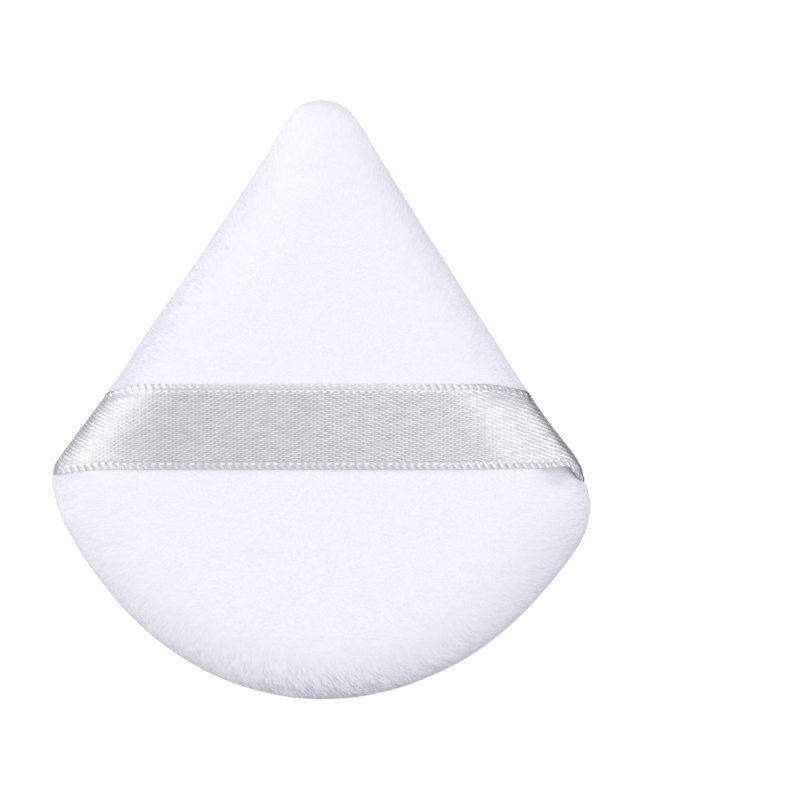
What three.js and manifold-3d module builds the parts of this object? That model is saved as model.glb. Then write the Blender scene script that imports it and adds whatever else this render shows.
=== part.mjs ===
// Powder puff: a soft rounded-triangle pad of two velour panels sewn together round a foam core,
// with a satin ribbon across its back for the fingers. Millimetres, +Z up. The powder side lies on
// z = 0, the ribbon side faces up, the tip of the triangle points to +Y.
import * as THREE from 'three';
import { mergeVertices } from 'three/addons/utils/BufferGeometryUtils.js';
import Module from 'manifold-3d';

// ---- driving dimensions -------------------------------------------------------------------------
const SEAM_Z = 5.6;            // height of the seam plane
const SEAM_GAP = 0.3;          // clearance between the two seam allowances
const EDGE_ROUND = 8.0;        // how far in from the outline the edge rounding reaches
const ROUND_POWER = 2.2;       // superellipse exponent of the rounding
const TOP_RISE = 5.5;          // rounding height above the seam
const TOP_CROWN = 1.1;         // further rise to the middle
const CROWN_LENGTH = 9;        // inward distance over which the crown builds up
const LOW_DROP = 5.2;          // rounding height below the seam
const LOW_CROWN = 1.2;         // further swelling below, pressed flat at z = 0
const COVER_T = 1.2;           // velour: backing cloth and pile
const ALLOWANCE_T = 0.9;       // seam allowance, pile pressed down
const OPENING_SCALE = 0.76;    // inner edge of the seam allowance, as a share of the outline
const FOAM_CLEAR = 0.3;        // foam to cover
const THREAD_ROOM = 1.1;       // room between the seam allowance and the foam for the threads
const THREAD_R = 0.18;
const STITCH_INSET = 2.3;      // stitch line, in from the outline
const STITCH_PITCH = 5.0;
const LOCK_HALF = 0.5;         // half width of a lockstitch loop
const LOCK_DEPTH = 0.36;       // how far each loop crosses the seam plane
const HOLE = 1.7;              // opening that a lockstitch makes in the cloth
const GAP_FROM = 0.335;        // turning gap along the outline, as shares of its length from the tip
const GAP_TO = 0.435;
const CLOSING_STITCHES = 8;
const RIBBON_TOP_Y = 1.74;     // ribbon: 10 mm wide
const RIBBON_LOW_Y = -8.26;
const RIBBON_T = 0.25;
const RIBBON_CLEAR = 0.35;     // ribbon to cover
const TAIL_IN = 6.0;           // how far the ribbon tail runs into the seam, along X
const FLEX_IN = 7.8;           // flex line of the ribbon, along X from the edge
const LEG_IN = 22.8;           // where a leg meets the span, along X from the edge
const RIBBON_JOINT = 0.3;      // clearance between neighbouring ribbon lengths
const TACK_INSET = 4.3;        // tack row, in from the outline
const TACK_HOLES = 6;
const RING_POINTS = 60;        // points round the outline
const MIDDLE = new THREE.Vector2(0, -6);

// Outline at the seam, from the tip clockwise.
const OUTLINE = [
  [0, 34.83], [2.5, 34.2], [4.5, 32.1], [6.25, 29.19], [9.96, 23.14], [16.5, 12.8], [22.83, 2.79],
  [26.4, -2.5], [29.0, -5.95], [30.65, -9.2], [31.25, -12.2], [30.75, -15.2], [29.2, -18.0],
  [26.75, -21.2], [22.66, -25.65], [17.6, -29.6], [12.0, -32.45], [6.1, -34.25], [0, -34.83],
  [-5.7, -34.25], [-11.5, -32.45], [-16.9, -29.5], [-21.6, -25.75], [-25.8, -21.05], [-28.6, -16.9],
  [-30.4, -13.3], [-31.2, -10.2], [-30.95, -7.6], [-29.2, -4.75], [-26.73, -1.4], [-23.6, 2.65],
  [-16.7, 12.9], [-9.5, 23.6], [-5.95, 29.19], [-4.3, 32.0], [-2.4, 34.2],
];

// ---- materials ----------------------------------------------------------------------------------
const velour = () => new THREE.MeshStandardMaterial({ color: 0xf4f3fc, roughness: 0.95, metalness: 0 });
const satin = () => new THREE.MeshStandardMaterial({ color: 0xcbcad2, roughness: 0.4, metalness: 0 });
const foam = () => new THREE.MeshStandardMaterial({ color: 0xf3efe2, roughness: 1, metalness: 0 });
const cotton = () => new THREE.MeshStandardMaterial({ color: 0xf7f6fa, roughness: 0.8, metalness: 0 });

// ---- outline helpers ----------------------------------------------------------------------------
const curve = new THREE.CatmullRomCurve3(
  OUTLINE.map(([x, y]) => new THREE.Vector3(x, y, 0)), true, 'centripetal');
// closer together round the tip and the corners, as the outline's own points are
const ring = [];
for (let i = 0; i < RING_POINTS; i++) {
  const p = curve.getPoint(i / RING_POINTS);
  ring.push(new THREE.Vector2(p.x, p.y));
}
const dense = curve.getSpacedPoints(480).slice(0, 480).map((p) => new THREE.Vector2(p.x, p.y));

// inward unit normal at each point of a clockwise loop
function inward(loop, i) {
  const n = loop.length;
  const d = loop[(i + 1) % n].clone().sub(loop[(i + n - 1) % n]).normalize();
  return new THREE.Vector2(d.y, -d.x);
}
const inset = (loop, by) => loop.map((p, i) => p.clone().addScaledVector(inward(loop, i), by));
const scaled = (loop, s) => loop.map((p) => p.clone().sub(MIDDLE).multiplyScalar(s).add(MIDDLE));

// Distance from a point inside a finely divided loop to the loop. Deep inside, the pull of all its edges is
// summed instead, which equals the distance beside one straight edge and leaves no ridge along the middle.
function depth(loop, x, y) {
  let best = Infinity, pull = 0;
  for (let i = 0; i < loop.length; i++) {
    const a = loop[i], b = loop[(i + 1) % loop.length];
    const ex = b.x - a.x, ey = b.y - a.y;
    const t = Math.min(1, Math.max(0, ((x - a.x) * ex + (y - a.y) * ey) / (ex * ex + ey * ey)));
    best = Math.min(best, Math.hypot(x - a.x - t * ex, y - a.y - t * ey));
    const mx = x - (a.x + b.x) / 2, my = y - (a.y + b.y) / 2;
    pull += Math.hypot(ex, ey) * Math.pow(mx * mx + my * my + 1e-9, -2.5);
  }
  const soft = Math.pow(0.75 * pull, -0.25);
  return best + (soft - best) * THREE.MathUtils.smoothstep(best, 1, 3);
}
// x of the outline at a height y, on the left (-1) or right (+1)
function edgeX(y, side) {
  let best = 0;
  for (let i = 0; i < dense.length; i++) {
    const a = dense[i], b = dense[(i + 1) % dense.length];
    if ((a.y - y) * (b.y - y) <= 0 && a.y !== b.y) {
      const x = a.x + (b.x - a.x) * (y - a.y) / (b.y - a.y);
      if (x * side > best * side) best = x;
    }
  }
  return best;
}

// height of the rounded, crowned face at an inward distance d
const swell = (d, rise, crown, reach) => {
  const t = Math.min(1, Math.max(0, d / reach));
  return rise * Math.pow(1 - Math.pow(1 - t, ROUND_POWER), 1 / ROUND_POWER)
    + crown * (1 - Math.exp(-d / CROWN_LENGTH));
};
const topZ = (x, y) => SEAM_Z + SEAM_GAP / 2 + swell(depth(dense, x, y), TOP_RISE, TOP_CROWN, EDGE_ROUND);

// ---- mesh helpers -------------------------------------------------------------------------------
function geometry(vertices, triangles) {
  const g = new THREE.BufferGeometry();
  g.setAttribute('position', new THREE.Float32BufferAttribute(vertices.flat(), 3));
  g.setIndex(triangles.flat());
  return g;
}

// A half cushion on the outline set in by `by`: flat at z = base, swollen up (dir 1) or down (dir -1),
// never past the plane `stop`.
const RING_STEPS = [1, 0.992, 0.968, 0.925, 0.86, 0.76, 0.45];
function cushion(by, base, dir, rise, crown, reach, stop = -Infinity, steps = RING_STEPS) {
  const loop = inset(ring, by), fine = inset(dense, by);
  const v = [], f = [], n = loop.length;
  const high = (p, edge) => {
    const z = base + (edge ? 0 : dir * swell(depth(fine, p.x, p.y), rise, crown, reach));
    return dir < 0 ? Math.max(stop, z) : z;
  };
  steps.forEach((s, k) => scaled(loop, s).forEach((p) => v.push([p.x, p.y, high(p, k === 0)])));
  const apex = v.push([MIDDLE.x, MIDDLE.y, high(MIDDLE, false)]) - 1;
  const foot = v.push([MIDDLE.x, MIDDLE.y, base]) - 1;
  const tri = (a, b, c) => f.push(dir > 0 ? [a, b, c] : [a, c, b]);
  for (let i = 0; i < n; i++) {
    const j = (i + 1) % n;
    for (let k = 0; k + 1 < steps.length; k++) {
      const a = k * n + i, b = k * n + j, c = (k + 1) * n + i, d = (k + 1) * n + j;
      tri(a, c, b); tri(b, c, d);
    }
    const last = (steps.length - 1) * n;
    tri(last + i, apex, last + j);
    tri(i, j, foot);
  }
  return geometry(v, f);
}

// An upright prism on a loop, between two heights.
function prism(loop, z0, z1) {
  const shape = new THREE.Shape(loop.map((p) => p.clone()));
  const g = new THREE.ExtrudeGeometry(shape, { depth: z1 - z0, bevelEnabled: false });
  g.translate(0, 0, z0);
  return g;
}

// A thread: a tube with closed ends along a run of points, mitred at the bends.
function thread(points, r, sides = 5) {
  const v = [], f = [], n = points.length;
  let up = new THREE.Vector3(0, 0, 1);
  const dir = (i) => points[Math.min(n - 1, i + 1)].clone().sub(points[Math.max(0, i)]).normalize();
  for (let i = 0; i < n; i++) {
    const before = i > 0 ? points[i].clone().sub(points[i - 1]).normalize() : dir(0);
    const after = i < n - 1 ? points[i + 1].clone().sub(points[i]).normalize() : before;
    // carry the frame from the segment before to the one after, then cut on the mitre plane
    if (i === 0 && Math.abs(before.dot(up)) > 0.9) up.set(1, 0, 0);
    up.addScaledVector(before, -up.dot(before)).normalize();
    const sideways = new THREE.Vector3().crossVectors(before, up);
    const plane = before.clone().add(after).normalize();
    for (let k = 0; k < sides; k++) {
      const a = (2 * Math.PI * k) / sides;
      const o = up.clone().multiplyScalar(Math.cos(a) * r).addScaledVector(sideways, Math.sin(a) * r);
      o.addScaledVector(before, -o.dot(plane) / before.dot(plane));
      const p = points[i].clone().add(o);
      v.push([p.x, p.y, p.z]);
    }
    const turn = new THREE.Quaternion().setFromUnitVectors(before, after);
    up.applyQuaternion(turn);
  }
  for (let i = 0; i + 1 < n; i++) {
    for (let k = 0; k < sides; k++) {
      const l = (k + 1) % sides;
      const a = i * sides + k, b = i * sides + l, c = a + sides, d = b + sides;
      f.push([a, b, c], [b, d, c]);
    }
  }
  for (let k = 1; k + 1 < sides; k++) {
    f.push([0, k + 1, k]);
    const e = (n - 1) * sides;
    f.push([e, e + k, e + k + 1]);
  }
  return geometry(v, f);
}

// A strip of cloth: rows of points on its middle surface, thickened both ways.
function strip(rows, t) {
  const m = rows.length, n = rows[0].length, v = [], f = [];
  const at = (i, j) => rows[Math.min(m - 1, Math.max(0, i))][Math.min(n - 1, Math.max(0, j))];
  for (const s of [1, -1]) {
    for (let i = 0; i < m; i++) {
      for (let j = 0; j < n; j++) {
        const along = at(i + 1, j).clone().sub(at(i - 1, j));
        const across = at(i, j + 1).clone().sub(at(i, j - 1));
        const normal = along.cross(across).normalize();
        const p = at(i, j).clone().addScaledVector(normal, (s * t) / 2);
        v.push([p.x, p.y, p.z]);
      }
    }
  }
  const id = (s, i, j) => s * m * n + i * n + j;
  const quad = (a, b, c, d) => f.push([a, b, c], [a, c, d]);
  for (let i = 0; i + 1 < m; i++) {
    for (let j = 0; j + 1 < n; j++) {
      quad(id(0, i, j), id(0, i + 1, j), id(0, i + 1, j + 1), id(0, i, j + 1));
      quad(id(1, i, j), id(1, i, j + 1), id(1, i + 1, j + 1), id(1, i + 1, j));
    }
    quad(id(0, i, 0), id(1, i, 0), id(1, i + 1, 0), id(0, i + 1, 0));
    quad(id(0, i, n - 1), id(0, i + 1, n - 1), id(1, i + 1, n - 1), id(1, i, n - 1));
  }
  for (let j = 0; j + 1 < n; j++) {
    quad(id(0, 0, j), id(0, 0, j + 1), id(1, 0, j + 1), id(1, 0, j));
    quad(id(0, m - 1, j), id(1, m - 1, j), id(1, m - 1, j + 1), id(0, m - 1, j + 1));
  }
  return geometry(v, f);
}

// ---- joining and cutting ------------------------------------------------------------------------
const wasm = await Module();
wasm.setup();
function solid(g) {
  let plain = g.clone();
  plain.deleteAttribute('normal');
  plain.deleteAttribute('uv');
  plain = mergeVertices(plain, 1e-5);
  return new wasm.Manifold(new wasm.Mesh({
    numProp: 3,
    vertProperties: new Float32Array(plain.attributes.position.array),
    triVerts: new Uint32Array(plain.index.array),
  }));
}
function back(m) {
  const mesh = m.getMesh();
  const g = new THREE.BufferGeometry();
  g.setAttribute('position', new THREE.Float32BufferAttribute(Float32Array.from(mesh.vertProperties), 3));
  g.setIndex(Array.from(mesh.triVerts));
  return g;
}
const together = (list) => list.reduce((a, b) => a.add(b));

// ---- stitch places ------------------------------------------------------------------------------
// a place on a line inset from the outline: position, direction along it, inward direction
function track(by) {
  const line = inset(dense, by);
  const run = [0];
  for (let i = 0; i < line.length; i++) run.push(run[i] + line[i].distanceTo(line[(i + 1) % line.length]));
  const length = run[line.length];
  return {
    length,
    at(s) {
      const w = ((s % length) + length) % length;
      let i = 0;
      while (run[i + 1] < w) i++;
      const a = line[i], b = line[(i + 1) % line.length];
      const t = b.clone().sub(a).normalize();
      const p = a.clone().addScaledVector(t, w - run[i]);
      return { p, t, n: new THREE.Vector2(t.y, -t.x) };
    },
  };
}
const spot = (place, along, in_, z) => new THREE.Vector3(
  place.p.x + place.t.x * along + place.n.x * in_, place.p.y + place.t.y * along + place.n.y * in_, z);
function hole(place, along, across) {
  const g = new THREE.BoxGeometry(along, across, 6);
  g.rotateZ(Math.atan2(place.t.y, place.t.x));
  g.translate(place.p.x, place.p.y, SEAM_Z);
  return g;
}

const over = SEAM_Z + SEAM_GAP / 2 + ALLOWANCE_T + 0.25 + THREAD_R;   // thread lying on the upper allowance
const under = SEAM_Z - SEAM_GAP / 2 - ALLOWANCE_T - 0.25 - THREAD_R;  // and below the lower one
const seam = track(STITCH_INSET);
const sewnLength = seam.length * (1 - (GAP_TO - GAP_FROM));
const stitches = Math.round(sewnLength / STITCH_PITCH);
const holes = [];
const needle = [], bobbin = [];
for (let i = 0; i <= stitches; i++) {
  const place = seam.at(seam.length * GAP_TO + (i * sewnLength) / stitches);
  holes.push(hole(place, HOLE, HOLE));
  needle.push(spot(place, -LOCK_HALF, 0, over), spot(place, -LOCK_HALF, 0, SEAM_Z - LOCK_DEPTH),
    spot(place, LOCK_HALF, 0, SEAM_Z - LOCK_DEPTH), spot(place, LOCK_HALF, 0, over));
  bobbin.push(spot(place, 0, LOCK_HALF, under), spot(place, 0, LOCK_HALF, SEAM_Z + LOCK_DEPTH),
    spot(place, 0, -LOCK_HALF, SEAM_Z + LOCK_DEPTH), spot(place, 0, -LOCK_HALF, under));
}

// a running stitch through both allowances
function running(places, list) {
  places.forEach((place, i) => {
    const z = i % 2 ? [under, over] : [over, under];
    list.push(spot(place, 0, 0, z[0]), spot(place, 0, 0, z[1]));
  });
}
const small = 0.85;
const closing = [];
const closingPlaces = [];
const gapLength = seam.length * (GAP_TO - GAP_FROM);
for (let i = 0; i < CLOSING_STITCHES; i++) {
  const place = seam.at(seam.length * GAP_FROM + ((i + 1) * gapLength) / (CLOSING_STITCHES + 1));
  closingPlaces.push(place);
  holes.push(hole(place, small, small));
}
closing.push(spot(closingPlaces[0], -0.8, 0, over));
running(closingPlaces, closing);
closing.push(spot(closingPlaces[CLOSING_STITCHES - 1], 0.8, 0, CLOSING_STITCHES % 2 ? under : over));

const tackLine = track(TACK_INSET);
function tack(side) {
  const places = [];
  for (let s = 0; s < tackLine.length; s += 0.05) {
    const place = tackLine.at(s);
    if (place.p.x * side > 10 && place.p.y < RIBBON_TOP_Y - 1.6 && place.p.y > RIBBON_LOW_Y + 0.6) places.push(place);
  }
  const picked = [];
  for (let i = 0; i < TACK_HOLES; i++) picked.push(places[Math.round((i * (places.length - 1)) / (TACK_HOLES - 1))]);
  picked.forEach((place) => holes.push(hole(place, small, small)));
  const list = [spot(picked[0], -0.8, 0, over)];
  running(picked, list);
  list.push(spot(picked[TACK_HOLES - 1], 0.8, 0, TACK_HOLES % 2 ? under : over));
  return list;
}
const tackLeft = tack(-1), tackRight = tack(1);
const punched = together(holes.map(solid));

// ---- ribbon -------------------------------------------------------------------------------------
const ACROSS = [0, 0.25, 0.5, 0.75, 1].map((t) => RIBBON_TOP_Y + t * (RIBBON_LOW_Y - RIBBON_TOP_Y));
const LIFT = RIBBON_CLEAR + RIBBON_T / 2;
// middle surface of the ribbon over the cover, `a` mm along X from the edge
function lying(y, a, side) {
  const x = edgeX(y, side) - side * a;
  const e = 0.02;
  const gx = (topZ(x + e, y) - topZ(x - e, y)) / (2 * e), gy = (topZ(x, y + e) - topZ(x, y - e)) / (2 * e);
  const normal = new THREE.Vector3(-gx, -gy, 1).normalize();
  return new THREE.Vector3(x, y, topZ(x, y)).addScaledVector(normal, LIFT);
}
function endRows(side) {
  const rows = [];
  for (const a of [TAIL_IN, 3, 1]) rows.push(ACROSS.map((y) => new THREE.Vector3(edgeX(y, side) - side * a, y, SEAM_Z)));
  // round the edge: out past the outline at the seam, then up
  rows.push(ACROSS.map((y) => new THREE.Vector3(edgeX(y, side) + side * 0.45, y, SEAM_Z)));
  rows.push(ACROSS.map((y) => new THREE.Vector3(edgeX(y, side) + side * 0.62, y, SEAM_Z + 0.9)));
  for (const a of [0.12, 0.4, 0.9, 1.7, 2.8, 4.2, 5.9, FLEX_IN - RIBBON_JOINT]) rows.push(ACROSS.map((y) => lying(y, a, side)));
  return rows;
}
const legRows = (side) => [0, 0.2, 0.4, 0.6, 0.8, 1].map((t) => ACROSS.map((y) => lying(y, FLEX_IN + t * (LEG_IN - FLEX_IN), side)));
const spanRows = [0, 0.125, 0.25, 0.375, 0.5, 0.625, 0.75, 0.875, 1].map((t) => ACROSS.map((y) => {
  const x0 = edgeX(y, -1) + LEG_IN + RIBBON_JOINT, x1 = edgeX(y, 1) - LEG_IN - RIBBON_JOINT;
  const x = x0 + t * (x1 - x0);
  return new THREE.Vector3(x, y, topZ(x, y) + LIFT);
}));
const flip = (rows) => rows.slice().reverse();   // keep the face side up when running from right to left
const ribbonEnd = (side) => strip(side < 0 ? flip(endRows(side)) : endRows(side), RIBBON_T);
const tailRoom = (side) => strip((side < 0 ? flip : (r) => r)([TAIL_IN + 0.3, -1.5].map((a) =>
  [RIBBON_TOP_Y + 0.45, -3.3, RIBBON_LOW_Y - 0.45].map((y) => new THREE.Vector3(edgeX(y, side) - side * a, y, SEAM_Z)))), RIBBON_T + 0.6);

// ---- covers and core ----------------------------------------------------------------------------
const foamIn = COVER_T + FOAM_CLEAR;
const INNER_STEPS = [1, 0.98, 0.92, 0.83, 0.6];
const upBase = SEAM_Z + SEAM_GAP / 2, lowBase = SEAM_Z - SEAM_GAP / 2;
const inUp = TOP_RISE - COVER_T - ALLOWANCE_T, inLow = LOW_DROP - COVER_T - ALLOWANCE_T;
const opening = solid(prism(scaled(ring, OPENING_SCALE), SEAM_Z - 3, SEAM_Z + 3));
const tails = solid(tailRoom(-1)).add(solid(tailRoom(1)));

const strapSide = solid(cushion(0, upBase, 1, TOP_RISE, TOP_CROWN, EDGE_ROUND))
  .subtract(solid(cushion(COVER_T, upBase + ALLOWANCE_T, 1, inUp, TOP_CROWN, EDGE_ROUND - COVER_T, -Infinity, INNER_STEPS)))
  .subtract(opening).subtract(tails).subtract(punched);
const powderSide = solid(cushion(0, lowBase, -1, LOW_DROP, LOW_CROWN, EDGE_ROUND, 0))
  .subtract(solid(cushion(COVER_T, lowBase - ALLOWANCE_T, -1, inLow, LOW_CROWN, EDGE_ROUND - COVER_T, COVER_T, INNER_STEPS)))
  .subtract(opening).subtract(tails).subtract(punched);

// The core fills both halves and is waisted where it passes between the seam allowances.
const foamUp = upBase + ALLOWANCE_T + THREAD_ROOM, foamLow = lowBase - ALLOWANCE_T - THREAD_ROOM;
const core = solid(cushion(foamIn, upBase + ALLOWANCE_T, 1, inUp - FOAM_CLEAR, TOP_CROWN, EDGE_ROUND - COVER_T, -Infinity, INNER_STEPS))
  .add(solid(cushion(foamIn, lowBase - ALLOWANCE_T, -1, inLow - FOAM_CLEAR, LOW_CROWN, EDGE_ROUND - COVER_T, COVER_T + FOAM_CLEAR, INNER_STEPS)))
  .subtract(solid(prism(scaled(ring, 1.05), foamLow, foamUp)))
  .add(solid(prism(scaled(ring, OPENING_SCALE - 0.03), foamLow - 0.4, foamUp + 0.4)));

// ---- the puff -----------------------------------------------------------------------------------
const puff = new THREE.Group();
function add(name, g, material) {
  const mesh = new THREE.Mesh(g, material);
  mesh.name = name;
  puff.add(mesh);
}
add('strap_side_cover', back(strapSide), velour());
add('powder_side_cover', back(powderSide), velour());
add('foam_core', back(core), foam());
add('seam_needle_thread', thread(needle, THREAD_R), cotton());
add('seam_bobbin_thread', thread(bobbin, THREAD_R), cotton());
add('closing_thread', thread(closing, THREAD_R), cotton());
add('left_ribbon_tack', thread(tackLeft, THREAD_R), cotton());
add('right_ribbon_tack', thread(tackRight, THREAD_R), cotton());
add('ribbon_left_end', back(solid(ribbonEnd(-1)).subtract(punched)), satin());
add('ribbon_right_end', back(solid(ribbonEnd(1)).subtract(punched)), satin());
add('ribbon_left_leg', strip(legRows(-1), RIBBON_T), satin());
add('ribbon_right_leg', strip(flip(legRows(1)), RIBBON_T), satin());
add('ribbon_span', strip(spanRows, RIBBON_T), satin());

export default puff;
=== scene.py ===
import math

import bpy
import numpy as np
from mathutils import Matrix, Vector


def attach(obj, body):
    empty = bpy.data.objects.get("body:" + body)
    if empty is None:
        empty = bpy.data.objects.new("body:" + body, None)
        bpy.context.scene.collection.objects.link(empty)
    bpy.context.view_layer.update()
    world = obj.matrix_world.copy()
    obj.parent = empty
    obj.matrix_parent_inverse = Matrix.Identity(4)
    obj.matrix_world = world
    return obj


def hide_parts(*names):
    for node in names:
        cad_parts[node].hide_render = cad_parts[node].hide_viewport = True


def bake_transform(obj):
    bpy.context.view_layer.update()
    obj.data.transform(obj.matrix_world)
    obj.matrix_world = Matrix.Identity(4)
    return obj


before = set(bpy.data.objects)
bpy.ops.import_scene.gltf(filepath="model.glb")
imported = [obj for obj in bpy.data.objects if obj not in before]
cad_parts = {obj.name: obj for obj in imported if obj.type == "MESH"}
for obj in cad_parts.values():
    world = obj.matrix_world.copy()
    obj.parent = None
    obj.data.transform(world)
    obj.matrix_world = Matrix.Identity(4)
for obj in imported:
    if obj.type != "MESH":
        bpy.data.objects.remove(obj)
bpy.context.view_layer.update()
scene = bpy.context.scene

# ---------------------------------------------------------------------------------------------------
# Dimensions in millimetres, the same as in the CAD model.
SEAM_Z = 5.6
EDGE_ROUND = 8.0
ROUND_POWER = 2.2
TOP_RISE, TOP_CROWN = 5.5, 1.1
LOW_DROP, LOW_CROWN = 5.2, 1.2
CROWN_LENGTH = 9.0
SEAM_HALF_GAP = 0.15
ROLL = 0.9                     # the edge rolls in to the seam over this height
ROLL_IN = 0.6                  # and goes in by this much
MIDDLE = np.array([0.0, -6.0])
RIBBON_TOP_Y, RIBBON_LOW_Y = 1.7, -8.2
RIBBON_T = 0.22
TAIL_IN = 6.0
OUTLINE = np.array([
    [0, 34.83], [2.5, 34.2], [4.5, 32.1], [6.25, 29.19], [9.96, 23.14], [16.5, 12.8], [22.83, 2.79],
    [26.4, -2.5], [29.0, -5.95], [30.65, -9.2], [31.25, -12.2], [30.75, -15.2], [29.2, -18.0],
    [26.75, -21.2], [22.66, -25.65], [17.6, -29.6], [12.0, -32.45], [6.1, -34.25], [0, -34.83],
    [-5.7, -34.25], [-11.5, -32.45], [-16.9, -29.5], [-21.6, -25.75], [-25.8, -21.05], [-28.6, -16.9],
    [-30.4, -13.3], [-31.2, -10.2], [-30.95, -7.6], [-29.2, -4.75], [-26.73, -1.4], [-23.6, 2.65],
    [-20.2, 7.92], [-16.7, 12.9], [-9.5, 23.6], [-5.95, 29.19], [-4.3, 32.0], [-2.4, 34.2]], float)
M = 0.001


# ---------------------------------------------------------------------------------------------------
# Outline and swelling
def closed_curve(points, count, per=60):
    """A closed centripetal Catmull-Rom curve, as `count` points at equal steps along it."""
    out, n = [], len(points)
    for i in range(n):
        p0, p1, p2, p3 = (points[(i + k) % n] for k in (-1, 0, 1, 2))
        d0, d1, d2 = (max(1e-6, np.linalg.norm(b - a) ** 0.5) for a, b in ((p0, p1), (p1, p2), (p2, p3)))
        t1 = ((p1 - p0) / d0 - (p2 - p0) / (d0 + d1) + (p2 - p1) / d1) * d1
        t2 = ((p2 - p1) / d1 - (p3 - p1) / (d1 + d2) + (p3 - p2) / d2) * d1
        t = np.linspace(0, 1, per, endpoint=False)[:, None]
        out.append(p1 + t1 * t + (-3 * p1 + 3 * p2 - 2 * t1 - t2) * t**2 + (2 * p1 - 2 * p2 + t1 + t2) * t**3)
    c = np.vstack(out)
    run = np.concatenate([[0], np.cumsum(np.linalg.norm(np.roll(c, -1, 0) - c, axis=1))])
    want = np.linspace(0, run[-1], count, endpoint=False)
    c = np.vstack([c, c[:1]])
    return np.stack([np.interp(want, run, c[:, 0]), np.interp(want, run, c[:, 1])], 1)


edge = closed_curve(OUTLINE, 1200)
AROUND = float(np.linalg.norm(np.roll(edge, -1, 0) - edge, axis=1).sum())


def inward(loop):
    d = np.roll(loop, -1, 0) - np.roll(loop, 1, 0)
    d /= np.linalg.norm(d, axis=1)[:, None]
    return np.stack([d[:, 1], -d[:, 0]], 1)


def ease(x, lo, hi):
    t = np.clip((np.asarray(x) - lo) / (hi - lo), 0, 1)
    return t * t * (3 - 2 * t)


def depth_exact(p):
    """How far points lie in from the outline: true distance near it, smoothed deep inside, so that no ridge forms."""
    a, b = edge, np.roll(edge, -1, 0)
    e = b - a
    ee = (e**2).sum(1)
    step = np.sqrt(ee)
    mid = (a + b) / 2
    out = np.empty(len(p))
    for s in range(0, len(p), 4000):
        q = p[s:s + 4000]
        t = np.clip(((q[:, None, :] - a) * e).sum(2) / ee, 0, 1)
        near = np.sqrt((((a + t[..., None] * e) - q[:, None, :]) ** 2).sum(2)).min(1)
        r2 = ((q[:, None, :] - mid) ** 2).sum(2) + 1e-9
        soft = (0.75 * (step * r2**-2.5).sum(1)) ** -0.25
        out[s:s + 4000] = near + (soft - near) * ease(near, 1, 3)
    return out


def inside(p):
    a, b = edge, np.roll(edge, -1, 0)
    hit = np.zeros(len(p), bool)
    for i in range(len(a)):
        (x0, y0), (x1, y1) = a[i], b[i]
        cross = (y0 > p[:, 1]) != (y1 > p[:, 1])
        hit ^= cross & (p[:, 0] < (x1 - x0) * (p[:, 1] - y0) / (y1 - y0 + 1e-12) + x0)
    return hit


GRID = 0.4
GX = np.arange(-33.2, 33.3, GRID)
GY = np.arange(-36.8, 36.9, GRID)
_g = np.stack(np.meshgrid(GX, GY, indexing="ij"), -1).reshape(-1, 2)
DEPTH = (depth_exact(_g) * np.where(inside(_g), 1.0, -1.0)).reshape(len(GX), len(GY))


def depth(x, y):
    """The same, read off a grid; below 0 outside."""
    fx = np.clip((np.asarray(x) - GX[0]) / GRID, 0, len(GX) - 1.001)
    fy = np.clip((np.asarray(y) - GY[0]) / GRID, 0, len(GY) - 1.001)
    i, j = fx.astype(int), fy.astype(int)
    u, v = fx - i, fy - j
    return ((DEPTH[i, j] * (1 - u) + DEPTH[i + 1, j] * u) * (1 - v)
            + (DEPTH[i, j + 1] * (1 - u) + DEPTH[i + 1, j + 1] * u) * v)


def rise_of(d, rise, crown):
    t = np.clip(d / EDGE_ROUND, 0, 1)
    return rise * (1 - (1 - t) ** ROUND_POWER) ** (1 / ROUND_POWER) + crown * (1 - np.exp(-np.maximum(d, 0) / CROWN_LENGTH))


def top_z(x, y):
    return SEAM_Z + ROLL + rise_of(depth(x, y), TOP_RISE + SEAM_HALF_GAP - ROLL, TOP_CROWN)


# ---------------------------------------------------------------------------------------------------
# Smooth noise, from fixed seeds
def _hash(i, j, k, seed):
    h = (i * 374761393 + j * 668265263 + k * 1274126177 + seed * 974634777) & 0xFFFFFFFF
    h = ((h ^ (h >> 13)) * 1103515245) & 0xFFFFFFFF
    return ((h ^ (h >> 16)) & 0xFFFF) / 65535.0 * 2 - 1


def _fade(f):
    return f * f * f * (f * (f * 6 - 15) + 10)


def noise(p, size, seed):
    """-1 to 1 at points in space, in millimetres."""
    q = p / size
    i = np.floor(q).astype(np.int64)
    f = _fade(q - i)
    out = 0
    for a in (0, 1):
        for b in (0, 1):
            for c in (0, 1):
                w = ((f[..., 0] if a else 1 - f[..., 0]) * (f[..., 1] if b else 1 - f[..., 1]) * (f[..., 2] if c else 1 - f[..., 2]))
                out = out + w * _hash(i[..., 0] + a, i[..., 1] + b, i[..., 2] + c, seed)
    return out


def noise_round(q, s, wide, long, seed):
    """-1 to 1 over (distance round the outline, distance in from the seam); it closes on itself round the outline."""
    n = int(round(AROUND / wide))
    x, y = q / AROUND * n, s / long
    i, j = np.floor(x).astype(np.int64), np.floor(y).astype(np.int64)
    f, g = _fade(x - i), _fade(y - j)
    out = 0
    for a in (0, 1):
        for b in (0, 1):
            out = out + (f if a else 1 - f) * (g if b else 1 - g) * _hash((i + a) % n, j + b, j * 0, seed)
    return out


def unit(v):
    return v / np.maximum(1e-12, np.linalg.norm(v, axis=-1, keepdims=True))


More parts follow.
